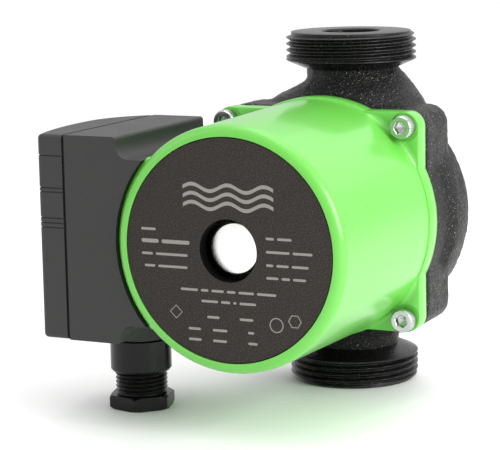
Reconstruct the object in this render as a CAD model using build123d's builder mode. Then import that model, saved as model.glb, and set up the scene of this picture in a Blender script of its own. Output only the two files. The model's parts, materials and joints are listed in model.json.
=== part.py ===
"""Wet-rotor circulator pump with threaded ports, an electronic motor and a side terminal box.

Row frame, millimetres: the origin is the middle of the lower port's sealing face, +Z runs up the
pipe axis to the upper port, the motor points along -Y and the terminal box is on the -X side.
"""
from build123d import *
from math import cos, radians, sin
import os

os.makedirs("parts", exist_ok=True)

# ---------------------------------------------------------------- driving dimensions
PORT_TO_PORT = 130.0
AXIS_Z = PORT_TO_PORT / 2          # height of the motor axis
PORT_BORE_R = 10.7
THREAD_CREST_R = 23.9              # G 1 1/2 parallel thread, 47.8 mm outside
THREAD_PITCH = 2.309
THREAD_DEPTH = 1.479
THREAD_TURNS = 4
PORT_FACE_R = 22.1
NECK_R = 16.5

BLOCK_HALF = 39.5                  # square iron body behind the motor flange
FLANGE_HALF = 39.3
SCREW_OFFSET = 34.25               # motor screws, from the motor axis
HOUSING_BORE_R = 38.3
BODY_BACK_R = 43.0                 # motor housing, slightly conical
BODY_FRONT_R = 41.6
LAND_R = 42.9                      # raised land that carries the terminal box
HOUSING_FRONT = 105.2              # distances forward of the pipe axis
FLANGE_BACK = 26.0
FLANGE_FRONT = 33.2
FLANGE_ROUND_R = 43.6             # the round body bulges past the square flange's sides

CAN_R = 23.4
CAN_WALL = 0.4
CAN_NOSE_R = 9.1
CAN_END = 99.5
SHAFT_R = 4.0
RUNNING_CLEARANCE = 0.03
STACK_BACK = 48.0
STACK_FRONT = 80.0
TOOTH_COUNT = 6
BLADE_COUNT = 6

NAMEPLATE_R = 37.5
NAMEPLATE_HOLE_R = 10.6

BOX_BACK = 38.0                    # terminal box, forward of the pipe axis
BOX_FRONT = 103.0
BOX_TOP = AXIS_Z + 36.0
BOX_BOTTOM = AXIS_Z - 35.0
SEAM_X = -62.3                     # base rim
COVER_X = -63.3                    # cover rim
SADDLE_R = LAND_R + 0.2
WALL = 2.0
BOARD_X = -52.0                    # component side of the control board
GLAND_X = -53.0
GLAND_Y = -70.0
GLAND_TOP = 34.6                   # inner end of the gland, inside the box

# ---------------------------------------------------------------- planes and small helpers
MOTOR = Plane(origin=(0, 0, AXIS_Z), x_dir=(1, 0, 0), z_dir=(0, -1, 0))    # local Z is forward
RADIAL = Plane(origin=(0, 0, AXIS_Z), x_dir=(1, 0, 0), z_dir=(0, 0, -1))   # radius, forward
MOTOR_AXIS = Axis((0, 0, AXIS_Z), (0, -1, 0))
GLAND = Plane(origin=(GLAND_X, GLAND_Y, 0))
BASE = (Align.CENTER, Align.CENTER, Align.MIN)


def polar(radius, degrees):
    """Point at a radius and an angle."""
    return (radius * cos(radians(degrees)), radius * sin(radians(degrees)))


def side(forward, height):
    """Plane that faces the terminal box's outer side, at a place forward and above the motor axis."""
    return Plane(origin=(0, -forward, AXIS_Z + height), x_dir=(0, -1, 0), z_dir=(-1, 0, 0))


def thread_profile(face_r, crest_r, depth, pitch, turns, first, crest_flat):
    """Corners of a ridged outside, as (radius, distance from the end face)."""
    corners = [(face_r, 0.0)]
    root_r = crest_r - depth
    for turn in range(turns):
        crest = first + turn * pitch
        corners.append((crest_r, crest - crest_flat / 2))
        corners.append((crest_r, crest + crest_flat / 2))
        if turn < turns - 1:
            corners.append((root_r, crest + pitch / 2 - crest_flat / 4))
            corners.append((root_r, crest + pitch / 2 + crest_flat / 4))
    return corners


# ---------------------------------------------------------------- pump casing (cast iron)
BLOCK_BACK = 1.5
BLOCK_FRONT = 25.6
VOLUTE_BACK = -9.0
VOLUTE_FRONT = 14.0
RECESS_FLOOR = 22.0
RECESS_R = 40.2
CHAMBER_BACK = 8.0
EYE_SEAT_R = 13.0
EYE_R = 11.3                       # the water's way into the impeller
RING_UNDERSIDE = 10.3
SCREW_BORE_R = 2.6
SUCTION_BORE_LENGTH = 14.0
SUCTION_TURN_HEIGHT = 25.0
DISCHARGE_BORE_LENGTH = 24.0

port_corners = [(0.0, 0.0)]
port_corners += thread_profile(PORT_FACE_R, THREAD_CREST_R, THREAD_DEPTH, THREAD_PITCH,
                               THREAD_TURNS, 2.3, 0.7)
port_corners += [(THREAD_CREST_R - 1.2, RING_UNDERSIDE), (NECK_R + 0.6, 12.4), (NECK_R, 13.4)]
port_corners += [(NECK_R, AXIS_Z), (0.0, AXIS_Z)]

with BuildPart() as port_stub:
    with BuildSketch(Plane.XZ):
        with BuildLine():
            Polyline(port_corners, close=True)
        make_face()
    revolve(axis=Axis.Z)

with BuildPart() as upper_flare:
    # height, middle X, middle Y, half width, half depth
    for height, mid_x, mid_y, half_x, half_y in (
        (117.0, 0.0, 0.0, NECK_R, NECK_R),
        (112.0, 2.8, -0.8, 19.6, 17.6),
        (105.0, 0.8, -5.5, 29.5, 19.5),
        (98.0, 0.0, -6.5, 31.0, 20.0),
    ):
        with BuildSketch(Plane.XY.offset(height)):
            with Locations((mid_x, mid_y)):
                Ellipse(half_x, half_y)
    loft()

with BuildPart() as lower_flare:
    for height, mid_y, half_x, half_y in (
        (13.4, 0.0, NECK_R, NECK_R),
        (19.0, -1.0, 18.6, 17.4),
        (26.0, -4.5, 24.5, 18.5),
        (33.0, -6.0, 28.0, 19.5),
    ):
        with BuildSketch(Plane.XY.offset(height)):
            with Locations((0, mid_y)):
                Ellipse(half_x, half_y)
    loft()

VOLUTE_R = 43.7
with BuildPart() as volute:
    with BuildSketch(MOTOR.offset(VOLUTE_BACK)):
        with Locations((1.5, -0.5)):
            Circle(VOLUTE_R)
    extrude(amount=VOLUTE_FRONT - VOLUTE_BACK)
    fillet(volute.edges().filter_by(GeomType.CIRCLE), radius=8.0)

# the suction water passes behind the collector on its way to the impeller's eye
with BuildPart() as suction_passage:
    for height, mid_y, half_x, half_y in (
        (SUCTION_BORE_LENGTH, 0.0, PORT_BORE_R, PORT_BORE_R),
        (SUCTION_TURN_HEIGHT, 6.3, 13.5, 6.6),
        (42.0, 6.3, 13.5, 6.6),
    ):
        with BuildSketch(Plane.XY.offset(height)):
            with Locations((0, mid_y)):
                Ellipse(half_x, half_y)
    loft(ruled=True)
    extrude(suction_passage.faces().sort_by(Axis.Z)[-1], amount=30)

with BuildPart() as discharge_passage:
    with BuildSketch(Plane.XY.offset(PORT_TO_PORT - DISCHARGE_BORE_LENGTH)):
        Circle(PORT_BORE_R)
    with BuildSketch(Plane.XY.offset(93)):
        with Locations((0, -7)):
            Circle(9.5)
    loft()

with BuildPart() as pump_casing:
    with BuildSketch(MOTOR.offset(BLOCK_BACK)):
        RectangleRounded(2 * BLOCK_HALF, 2 * BLOCK_HALF, 7.0)
    extrude(amount=BLOCK_FRONT - BLOCK_BACK)
    fillet(pump_casing.edges().group_by(Axis.Y)[-1], radius=3.5)
    with BuildSketch(MOTOR.offset(VOLUTE_FRONT - 1)):
        Circle(RECESS_R + 3.0)
    extrude(amount=BLOCK_FRONT - VOLUTE_FRONT + 1)
    add(volute.part)
    add(upper_flare.part)
    add(lower_flare.part)
    add(port_stub.part)
    add(mirror(port_stub.part, about=Plane.XY.offset(AXIS_Z)))
    # suction elbow behind the impeller eye
    with BuildSketch(MOTOR.offset(-17.5)):
        Circle(18.5)
    extrude(amount=22)
    fillet(pump_casing.edges().group_by(Axis.Y)[-1], radius=5.0)
    # water passages
    with BuildSketch(Plane.XY):
        Circle(PORT_BORE_R)
    extrude(amount=SUCTION_BORE_LENGTH, mode=Mode.SUBTRACT)
    add(suction_passage.part, mode=Mode.SUBTRACT)
    with BuildSketch(MOTOR.offset(-9)):
        Circle(EYE_R)
    extrude(amount=CHAMBER_BACK + 10, mode=Mode.SUBTRACT)
    with BuildSketch(Plane.XY.offset(PORT_TO_PORT)):
        Circle(PORT_BORE_R)
    extrude(amount=-DISCHARGE_BORE_LENGTH, mode=Mode.SUBTRACT)
    add(discharge_passage.part, mode=Mode.SUBTRACT)
    with BuildSketch(RADIAL):
        with BuildLine():
            Polyline(
                (0, CHAMBER_BACK), (27.5, CHAMBER_BACK), (27.5, 3), (38.5, 3), (38.5, 16),
                (36, 19), (36, RECESS_FLOOR), (RECESS_R, RECESS_FLOOR), (RECESS_R, 30),
                (0, 30), close=True,
            )
        make_face()
    revolve(axis=MOTOR_AXIS, mode=Mode.SUBTRACT)
    with BuildSketch(MOTOR.offset(4.5)):
        Circle(EYE_SEAT_R)
    extrude(amount=5, mode=Mode.SUBTRACT)
    with BuildSketch(MOTOR.offset(BLOCK_FRONT)):
        with GridLocations(2 * SCREW_OFFSET, 2 * SCREW_OFFSET, 2, 2):
            Circle(SCREW_BORE_R)
    extrude(amount=-16, mode=Mode.SUBTRACT)
pump_casing.part.label = "pump_casing"
export_step(pump_casing.part, "parts/pump_casing.step")

# ---------------------------------------------------------------- wear ring round the impeller eye
with BuildPart(MOTOR.offset(4.6)) as wear_ring:
    Cylinder(EYE_SEAT_R - 0.05, 3.3, align=BASE)
    Cylinder(EYE_R, 3.3, align=BASE, mode=Mode.SUBTRACT)
wear_ring.part.label = "wear_ring"
export_step(wear_ring.part, "parts/wear_ring.step")

# ---------------------------------------------------------------- gasket between can and casing
CAN_FLANGE_BACK = 23.6
with BuildPart(MOTOR.offset(RECESS_FLOOR)) as casing_gasket:
    Cylinder(RECESS_R - 0.3, CAN_FLANGE_BACK - RECESS_FLOOR, align=BASE)
    Cylinder(36.2, CAN_FLANGE_BACK - RECESS_FLOOR, align=BASE, mode=Mode.SUBTRACT)
casing_gasket.part.label = "casing_gasket"
export_step(casing_gasket.part, "parts/casing_gasket.step")

# ---------------------------------------------------------------- bearing plate and bearings
BEARING_R = 7.5
with BuildPart() as bearing_plate:
    with BuildSketch(RADIAL):
        with BuildLine():
            Polyline(
                (BEARING_R + 0.02, 20.8), (10, 20.8), (12, 22.2), (35.8, 22.2),
                (35.8, CAN_FLANGE_BACK), (22.8, CAN_FLANGE_BACK), (22.8, 27), (21.8, 27),
                (21.8, 24.4), (10.4, 24.4), (9.6, 30.8), (BEARING_R + 0.02, 30.8), close=True,
            )
        make_face()
    revolve(axis=MOTOR_AXIS)
    with BuildSketch(MOTOR.offset(20)):
        with PolarLocations(16, 4):
            Circle(1.5)
    extrude(amount=6, mode=Mode.SUBTRACT)
bearing_plate.part.label = "bearing_plate"
export_step(bearing_plate.part, "parts/bearing_plate.step")

with BuildPart(MOTOR.offset(20.8)) as front_bearing:
    Cylinder(BEARING_R, 10, align=BASE)
    Cylinder(SHAFT_R + RUNNING_CLEARANCE, 10, align=BASE, mode=Mode.SUBTRACT)
front_bearing.part.label = "front_bearing"
export_step(front_bearing.part, "parts/front_bearing.step")

with BuildPart(MOTOR.offset(88)) as rear_bearing:
    Cylinder(12.5, 3.1, align=BASE)
    Cylinder(CAN_NOSE_R - CAN_WALL - 0.05, 9.4, align=BASE)
    Cylinder(SHAFT_R + RUNNING_CLEARANCE, 9.4, align=BASE, mode=Mode.SUBTRACT)
rear_bearing.part.label = "rear_bearing"
export_step(rear_bearing.part, "parts/rear_bearing.step")

# ---------------------------------------------------------------- rotor can (thin stainless cup)
CAN_FRONT = 91.6
with BuildPart() as rotor_can:
    with BuildSketch(RADIAL):
        with BuildLine():
            Polyline(
                (0, CAN_END), (7.4, CAN_END), (CAN_NOSE_R, CAN_END - 1.7),
                (CAN_NOSE_R, CAN_FRONT), (CAN_R - 1, CAN_FRONT), (CAN_R, CAN_FRONT - 1),
                (CAN_R, 24.4), (RECESS_R - 0.3, 24.4), (RECESS_R - 0.3, CAN_FLANGE_BACK),
                (CAN_R - CAN_WALL, CAN_FLANGE_BACK), (CAN_R - CAN_WALL, CAN_FRONT - 1.2),
                (CAN_R - 1.2, CAN_FRONT - CAN_WALL), (CAN_NOSE_R - CAN_WALL, CAN_FRONT - CAN_WALL),
                (CAN_NOSE_R - CAN_WALL, CAN_END - 1.9), (7.2, CAN_END - CAN_WALL),
                (0, CAN_END - CAN_WALL), close=True,
            )
        make_face()
    revolve(axis=MOTOR_AXIS)
rotor_can.part.label = "rotor_can"
export_step(rotor_can.part, "parts/rotor_can.step")

# ---------------------------------------------------------------- rotor
ROTOR_BACK = 43.6
ROTOR_FRONT = 84.4
MAGNET_R = 21.85
with BuildPart(MOTOR.offset(5.6)) as rotor_shaft:
    Cylinder(SHAFT_R, 92.2, align=BASE)
    chamfer(rotor_shaft.edges(), length=0.4)
rotor_shaft.part.label = "rotor_shaft"
export_step(rotor_shaft.part, "parts/rotor_shaft.step")

with BuildPart(MOTOR.offset(ROTOR_BACK)) as rotor_magnet:
    Cylinder(MAGNET_R, ROTOR_FRONT - ROTOR_BACK, align=BASE)
    Cylinder(SHAFT_R, ROTOR_FRONT - ROTOR_BACK, align=BASE, mode=Mode.SUBTRACT)
rotor_magnet.part.label = "rotor_magnet"
export_step(rotor_magnet.part, "parts/rotor_magnet.step")

SLEEVE_WALL = 0.4
with BuildPart() as rotor_sleeve:
    with BuildSketch(RADIAL):
        with BuildLine():
            Polyline(
                (SHAFT_R + 0.3, ROTOR_BACK - SLEEVE_WALL),
                (MAGNET_R + SLEEVE_WALL, ROTOR_BACK - SLEEVE_WALL),
                (MAGNET_R + SLEEVE_WALL, ROTOR_FRONT + SLEEVE_WALL),
                (SHAFT_R + 0.3, ROTOR_FRONT + SLEEVE_WALL), (SHAFT_R + 0.3, ROTOR_FRONT),
                (MAGNET_R, ROTOR_FRONT), (MAGNET_R, ROTOR_BACK), (SHAFT_R + 0.3, ROTOR_BACK),
                close=True,
            )
        make_face()
    revolve(axis=MOTOR_AXIS)
rotor_sleeve.part.label = "rotor_sleeve"
export_step(rotor_sleeve.part, "parts/rotor_sleeve.step")

with BuildPart(MOTOR.offset(31.2)) as thrust_ring:
    Cylinder(8, 3, align=BASE)
    Cylinder(SHAFT_R, 3, align=BASE, mode=Mode.SUBTRACT)
    chamfer(thrust_ring.edges().group_by(Axis.Y)[0], length=0.5)
thrust_ring.part.label = "thrust_ring"
export_step(thrust_ring.part, "parts/thrust_ring.step")

# ---------------------------------------------------------------- impeller
IMPELLER_R = 24.2
SHROUD_FRONT = 11.2
BACK_DISC = 17.6
with BuildSketch(Plane.XY) as blade:
    with BuildLine():
        ThreePointArc(polar(8.5, 0), polar(16.5, -24), polar(IMPELLER_R - 0.8, -56))
    trace(line_width=1.4)

with BuildPart() as impeller:
    with BuildSketch(MOTOR.offset(9)):
        Circle(7.2)
    extrude(amount=10.2)
    with BuildSketch(MOTOR.offset(BACK_DISC)):
        Circle(IMPELLER_R)
    extrude(amount=1.6)
    with BuildSketch(MOTOR.offset(SHROUD_FRONT)):
        with PolarLocations(0, BLADE_COUNT):
            add(blade.sketch)
    extrude(amount=BACK_DISC - SHROUD_FRONT + 0.2)
    with BuildSketch(MOTOR.offset(8)):
        Circle(SHAFT_R)
    extrude(amount=13, mode=Mode.SUBTRACT)
impeller.part.label = "impeller"
export_step(impeller.part, "parts/impeller.step")

with BuildPart() as impeller_front_shroud:
    with BuildSketch(RADIAL):
        with BuildLine():
            Polyline(
                (9.6, 5), (11.0, 5), (11.0, 9.2), (13, 9.9), (IMPELLER_R, 9.9),
                (IMPELLER_R, SHROUD_FRONT), (11.6, SHROUD_FRONT), (9.6, 10.2), close=True,
            )
        make_face()
    revolve(axis=MOTOR_AXIS)
impeller_front_shroud.part.label = "impeller_front_shroud"
export_step(impeller_front_shroud.part, "parts/impeller_front_shroud.step")

# ---------------------------------------------------------------- stator
YOKE_R = 33.0
TOOTH_WIDTH = 8.0
TIP_R = 25.9
STACK_MIDDLE = (STACK_BACK + STACK_FRONT) / 2
STACK_LENGTH = STACK_FRONT - STACK_BACK
with BuildPart() as stator_core:
    with BuildSketch(MOTOR.offset(STACK_BACK)):
        Circle(HOUSING_BORE_R - 0.05)
        Circle(YOKE_R, mode=Mode.SUBTRACT)
        Circle(TIP_R)
        Circle(CAN_R + 0.4, mode=Mode.SUBTRACT)
        with PolarLocations((YOKE_R + TIP_R) / 2, TOOTH_COUNT):
            Rectangle(YOKE_R - TIP_R + 3, TOOTH_WIDTH)
        with PolarLocations(TIP_R - 1, TOOTH_COUNT, start_angle=180 / TOOTH_COUNT):
            Rectangle(4, 2.4, mode=Mode.SUBTRACT)
    extrude(amount=STACK_LENGTH)
stator_core.part.label = "stator_core"
export_step(stator_core.part, "parts/stator_core.step")


def tooth_plane(tooth, radius):
    """Plane square to a tooth, at a radius: local X runs along the motor axis."""
    across, up = polar(1.0, 360 / TOOTH_COUNT * tooth)
    origin = (radius * across, -STACK_MIDDLE, AXIS_Z + radius * up)
    return Plane(origin=origin, x_dir=(0, -1, 0), z_dir=(across, 0, up))


BOBBIN_WALL = 0.8
BOBBIN_GAP = 0.1
COIL_HALF_WIDTH = 10.3
COIL_OVERHANG = 6.5
bobbin_length = STACK_LENGTH + 2 * (BOBBIN_WALL + BOBBIN_GAP)
bobbin_width = TOOTH_WIDTH + 2 * (BOBBIN_WALL + BOBBIN_GAP)
with BuildPart() as coil_bobbins:
    for tooth in range(TOOTH_COUNT):
        with BuildSketch(tooth_plane(tooth, 26.2)):
            Rectangle(bobbin_length + 2 * COIL_OVERHANG, 2 * COIL_HALF_WIDTH)
        extrude(amount=BOBBIN_WALL)
        with BuildSketch(tooth_plane(tooth, 26.2)):
            Rectangle(bobbin_length, bobbin_width)
        extrude(amount=5.4)
        with BuildSketch(tooth_plane(tooth, 26.0)):
            Rectangle(STACK_LENGTH + 2 * BOBBIN_GAP, TOOTH_WIDTH + 2 * BOBBIN_GAP)
        extrude(amount=6, mode=Mode.SUBTRACT)
coil_bobbins.part.label = "coil_bobbins"
export_step(coil_bobbins.part, "parts/coil_bobbins.step")

with BuildPart() as stator_windings:
    for tooth in range(TOOTH_COUNT):
        with BuildSketch(tooth_plane(tooth, 27.1)):
            RectangleRounded(bobbin_length + 2 * COIL_OVERHANG - 1, 2 * COIL_HALF_WIDTH - 0.4, 4)
            Rectangle(bobbin_length + 0.1, bobbin_width + 0.1, mode=Mode.SUBTRACT)
        extrude(amount=3.8)
stator_windings.part.label = "stator_windings"
export_step(stator_windings.part, "parts/stator_windings.step")

# ---------------------------------------------------------------- motor housing (painted casting)
HOUSING_WALL_FRONT = 99.6
NAMEPLATE_SEAT = 104.2
WINDOW_LENGTH = 16.0
WINDOW_HEIGHT = 22.0
FIXING_PLACES = (46.0, 93.0)       # forward distance of the two box fixing screws
with BuildPart() as corner_blend:
    with BuildSketch(MOTOR.offset(FLANGE_BACK)):
        RectangleRounded(2 * FLANGE_HALF, 2 * FLANGE_HALF, 5.5)
        Circle(FLANGE_ROUND_R)
    extrude(amount=14)
    with BuildSketch(RADIAL):
        with BuildLine():
            Line((0, FLANGE_BACK), (60, FLANGE_BACK))
            Line((60, FLANGE_BACK), (60, FLANGE_FRONT))
            Line((60, FLANGE_FRONT), (BODY_BACK_R + 2.2, FLANGE_FRONT))
            RadiusArc((BODY_BACK_R + 2.2, FLANGE_FRONT), (BODY_BACK_R - 0.1, FLANGE_FRONT + 2.3), 2.4)
            Line((BODY_BACK_R - 0.1, FLANGE_FRONT + 2.3), (0, FLANGE_FRONT + 2.3))
            Line((0, FLANGE_FRONT + 2.3), (0, FLANGE_BACK))
        make_face()
    revolve(axis=MOTOR_AXIS, mode=Mode.INTERSECT)

with BuildPart() as motor_housing:
    with BuildSketch(RADIAL):
        with BuildLine():
            Polyline(
                (0, 24.4), (RECESS_R - 0.3, 24.4), (RECESS_R - 0.3, FLANGE_BACK),
                (BODY_BACK_R, FLANGE_BACK), (BODY_BACK_R, FLANGE_FRONT),
                (BODY_FRONT_R, HOUSING_FRONT), (0, HOUSING_FRONT), close=True,
            )
        make_face()
    revolve(axis=MOTOR_AXIS)
    fillet(motor_housing.edges().group_by(Axis.Y)[0], radius=3.6)
    # raised land under the terminal box
    with BuildSketch(MOTOR.offset(39)):
        with BuildLine():
            Line((0, 0), polar(LAND_R, 136.5))
            ThreePointArc(polar(LAND_R, 136.5), polar(LAND_R, 180), polar(LAND_R, 223.5))
            Line(polar(LAND_R, 223.5), (0, 0))
        make_face()
    extrude(amount=62)
    add(corner_blend.part)
    with BuildSketch(MOTOR.offset(20)):
        Circle(HOUSING_BORE_R)
    extrude(amount=HOUSING_WALL_FRONT - 20, mode=Mode.SUBTRACT)
    with BuildSketch(MOTOR.offset(90)):
        Circle(NAMEPLATE_HOLE_R)
    extrude(amount=20, mode=Mode.SUBTRACT)
    with BuildSketch(MOTOR.offset(NAMEPLATE_SEAT)):
        Circle(NAMEPLATE_R + 0.35)
    extrude(amount=5, mode=Mode.SUBTRACT)
    with BuildSketch(MOTOR.offset(FLANGE_FRONT)):
        with GridLocations(2 * SCREW_OFFSET, 2 * SCREW_OFFSET, 2, 2):
            Circle(5.2)
    extrude(amount=4, mode=Mode.SUBTRACT)
    with BuildSketch(MOTOR.offset(20)):
        with GridLocations(2 * SCREW_OFFSET, 2 * SCREW_OFFSET, 2, 2):
            Circle(2.75)
    extrude(amount=15, mode=Mode.SUBTRACT)
    with BuildSketch(side(66, 0)):
        Rectangle(WINDOW_LENGTH, WINDOW_HEIGHT)
    extrude(amount=50, mode=Mode.SUBTRACT)
    for place in FIXING_PLACES:
        with BuildSketch(side(place, 0)):
            Circle(1.8)
        extrude(amount=50, mode=Mode.SUBTRACT)
motor_housing.part.label = "motor_housing"
export_step(motor_housing.part, "parts/motor_housing.step")

# ---------------------------------------------------------------- nameplate
with BuildPart(MOTOR.offset(NAMEPLATE_SEAT)) as nameplate:
    Cylinder(NAMEPLATE_R, 0.8, align=BASE)
    Cylinder(NAMEPLATE_HOLE_R, 0.8, align=BASE, mode=Mode.SUBTRACT)
nameplate.part.label = "nameplate"
export_step(nameplate.part, "parts/nameplate.step")

# ---------------------------------------------------------------- motor screws, M5 socket head
with BuildPart() as housing_screws:
    with BuildSketch(MOTOR.offset(FLANGE_FRONT)):
        with GridLocations(2 * SCREW_OFFSET, 2 * SCREW_OFFSET, 2, 2):
            Circle(4.25)
    extrude(amount=5)
    fillet(housing_screws.edges().group_by(Axis.Y)[0], radius=0.5)
    with BuildSketch(MOTOR.offset(FLANGE_FRONT)):
        with GridLocations(2 * SCREW_OFFSET, 2 * SCREW_OFFSET, 2, 2):
            Circle(2.5)
    extrude(amount=-20)
    with BuildSketch(MOTOR.offset(FLANGE_FRONT + 5)):
        with GridLocations(2 * SCREW_OFFSET, 2 * SCREW_OFFSET, 2, 2):
            RegularPolygon(2, 6, major_radius=False)
    extrude(amount=-3, mode=Mode.SUBTRACT)
housing_screws.part.label = "housing_screws"
export_step(housing_screws.part, "parts/housing_screws.step")

# ---------------------------------------------------------------- terminal box base
NOTCH_X = -42.4
NOTCH_HEIGHT = 28.4
FLOOR_X = -46.2
BOSS_R = 10.3
BOSS_END = AXIS_Z - 39.6
GLAND_BORE_R = 8.35
POST_PLACES = ((50.0, 27.0), (50.0, -27.0), (95.0, 27.0), (95.0, -27.0))
STANDOFF_PLACES = ((56.0, 20.0), (56.0, -18.0), (90.0, 20.0), (90.0, -18.0))
BOARD_THICKNESS = 1.6
top = BOX_TOP - AXIS_Z
bottom = BOX_BOTTOM - AXIS_Z
box_depth = BOX_FRONT - BOX_BACK
box_middle = (BOX_FRONT + BOX_BACK) / 2


with BuildPart() as terminal_box_base:
    with BuildSketch(MOTOR.offset(BOX_BACK)):
        with BuildLine():
            FilletPolyline(
                (SEAM_X, bottom), (NOTCH_X, bottom), (NOTCH_X, -NOTCH_HEIGHT), (-20, -NOTCH_HEIGHT),
                (-20, NOTCH_HEIGHT), (NOTCH_X, NOTCH_HEIGHT), (NOTCH_X, top), (SEAM_X, top),
                radius=[1.2, 5, 5, 5, 5, 1.2], close=False,
            )
            Line((SEAM_X, top), (SEAM_X, bottom))
        make_face()
        Circle(SADDLE_R, mode=Mode.SUBTRACT)
    extrude(amount=box_depth)
    # boss for the cable gland
    with BuildSketch(GLAND.offset(BOSS_END)):
        Circle(BOSS_R)
    extrude(amount=BOX_BOTTOM - BOSS_END + 0.5)
    # hollow, open towards the cover
    with BuildSketch(side(box_middle, (top + bottom) / 2).offset(-FLOOR_X)):
        RectangleRounded(box_depth - 2 * WALL, BOX_TOP - BOX_BOTTOM - 2 * WALL, 2)
    extrude(amount=20, mode=Mode.SUBTRACT)
    # posts for the cover screws
    for forward, height in POST_PLACES:
        with BuildSketch(side(forward, height).offset(-FLOOR_X - 0.5)):
            Circle(3.4)
        extrude(amount=FLOOR_X + 0.5 - SEAM_X)
        with BuildSketch(side(forward, height).offset(-SEAM_X)):
            Circle(1.6)
        extrude(amount=-14, mode=Mode.SUBTRACT)
    for forward, height in STANDOFF_PLACES:
        with BuildSketch(side(forward, height).offset(-FLOOR_X - 0.5)):
            Circle(2.2)
        extrude(amount=FLOOR_X + 0.5 - BOARD_X - BOARD_THICKNESS)
    with BuildSketch(GLAND.offset(BOSS_END)):
        Circle(GLAND_BORE_R)
    extrude(amount=GLAND_TOP - BOSS_END + 0.7, mode=Mode.SUBTRACT)
    with BuildSketch(side(66, 0)):
        Rectangle(WINDOW_LENGTH, WINDOW_HEIGHT)
    extrude(amount=60, mode=Mode.SUBTRACT)
    for place in FIXING_PLACES:
        with BuildSketch(side(place, 0)):
            Circle(2.1)
        extrude(amount=60, mode=Mode.SUBTRACT)
terminal_box_base.part.label = "terminal_box_base"
export_step(terminal_box_base.part, "parts/terminal_box_base.step")

# ---------------------------------------------------------------- seal in the box seam
SEAL_GAP = 0.02
seam_height = BOX_TOP - BOX_BOTTOM
seam_middle = (top + bottom) / 2
with BuildPart() as box_seal:
    with BuildSketch(side(box_middle, seam_middle).offset(-SEAM_X + SEAL_GAP)):
        RectangleRounded(box_depth - 1.8, seam_height - 1.8, 1.2)
        RectangleRounded(box_depth - 2 * WALL, seam_height - 2 * WALL, 2, mode=Mode.SUBTRACT)
    extrude(amount=SEAM_X - COVER_X - 2 * SEAL_GAP)
box_seal.part.label = "box_seal"
export_step(box_seal.part, "parts/box_seal.step")

# ---------------------------------------------------------------- terminal box cover
FRONT_CORNER_X = -72.8
CROWN_X = -77.2
PLAN_END_X = -50.0
GROOVE_DEPTH = 0.4
GROOVE_WIDTH = 0.45
GROOVE_HEIGHTS = (28.5, 17.4, 16.0, 7.0, 5.3, 3.7)
BUTTON_FORWARD = 70.0
BUTTON_R = 4.5
WINDOW_PLACE = (86.0, 0.0)
HEAD_SEAT_X = -67.5
with BuildSketch(Plane.XY) as cover_plan:
    with BuildLine():
        Line((PLAN_END_X, -BOX_FRONT), (FRONT_CORNER_X, -BOX_FRONT))
        crown = ThreePointArc((FRONT_CORNER_X, -BOX_FRONT), (-76.6, -84.0), (CROWN_X, -62.0))
        TangentArc((CROWN_X, -62.0), (COVER_X, -BOX_BACK), tangent=crown % 1)
        Line((COVER_X, -BOX_BACK), (PLAN_END_X, -BOX_BACK))
        Line((PLAN_END_X, -BOX_BACK), (PLAN_END_X, -BOX_FRONT))
    make_face()
    fillet(cover_plan.vertices().sort_by(Axis.X)[0:3].sort_by(Axis.Y)[0], radius=2)
inner_plan = offset(cover_plan.sketch, amount=-WALL)
groove_plan = cover_plan.sketch - offset(cover_plan.sketch, amount=-GROOVE_DEPTH)

with BuildPart() as cover_outside:
    with BuildSketch(Plane.XY.offset(BOX_BOTTOM)):
        add(cover_plan.sketch)
    extrude(amount=seam_height)
    split(bisect_by=Plane.YZ.offset(COVER_X), keep=Keep.BOTTOM)
    ends = cover_outside.faces().filter_by(Axis.Z)
    rim = [edge for edge in ends.edges() if edge.center().X < COVER_X - 0.1]
    fillet(rim, radius=1.6)

with BuildPart() as terminal_box_cover:
    add(cover_outside.part)
    with BuildSketch(Plane.XY.offset(BOX_BOTTOM + WALL)):
        add(inner_plan)
    extrude(amount=seam_height - 2 * WALL, mode=Mode.SUBTRACT)
    for height in GROOVE_HEIGHTS:
        with BuildSketch(Plane.XY.offset(AXIS_Z + height)):
            add(groove_plan)
        extrude(amount=GROOVE_WIDTH, mode=Mode.SUBTRACT)
    for forward, height in POST_PLACES:
        with BuildSketch(side(forward, height).offset(-COVER_X)):
            Circle(4.6)
        extrude(amount=14)
        with BuildSketch(side(forward, height).offset(-COVER_X)):
            Circle(1.8)
        extrude(amount=8, mode=Mode.SUBTRACT)
        with BuildSketch(side(forward, height).offset(-HEAD_SEAT_X)):
            Circle(3.2)
        extrude(amount=12, mode=Mode.SUBTRACT)
    with BuildSketch(side(BUTTON_FORWARD, 0).offset(-COVER_X)):
        Circle(BUTTON_R + 0.3)
    extrude(amount=20, mode=Mode.SUBTRACT)
    with BuildSketch(side(*WINDOW_PLACE).offset(-COVER_X)):
        Rectangle(8.2, 6.2)
    extrude(amount=20, mode=Mode.SUBTRACT)
    add(cover_outside.part, mode=Mode.INTERSECT)
terminal_box_cover.part.label = "terminal_box_cover"
export_step(terminal_box_cover.part, "parts/terminal_box_cover.step")

with BuildPart() as indicator_window:
    with BuildSketch(side(*WINDOW_PLACE).offset(-BOARD_X + 2)):
        Rectangle(8, 6)
    extrude(amount=30)
    add(cover_outside.part, mode=Mode.INTERSECT)
indicator_window.part.label = "indicator_window"
export_step(indicator_window.part, "parts/indicator_window.step")

with BuildPart() as cover_screws:
    for forward, height in POST_PLACES:
        with BuildSketch(side(forward, height).offset(-HEAD_SEAT_X)):
            Circle(2.9)
        extrude(amount=2.2)
        with BuildSketch(side(forward, height).offset(-HEAD_SEAT_X)):
            Circle(1.5)
        extrude(amount=-16)
        with BuildSketch(side(forward, height).offset(-HEAD_SEAT_X + 2.2)):
            Rectangle(3.6, 0.8)
            Rectangle(0.8, 3.6)
        extrude(amount=-1.2, mode=Mode.SUBTRACT)
cover_screws.part.label = "cover_screws"
export_step(cover_screws.part, "parts/cover_screws.step")

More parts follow.
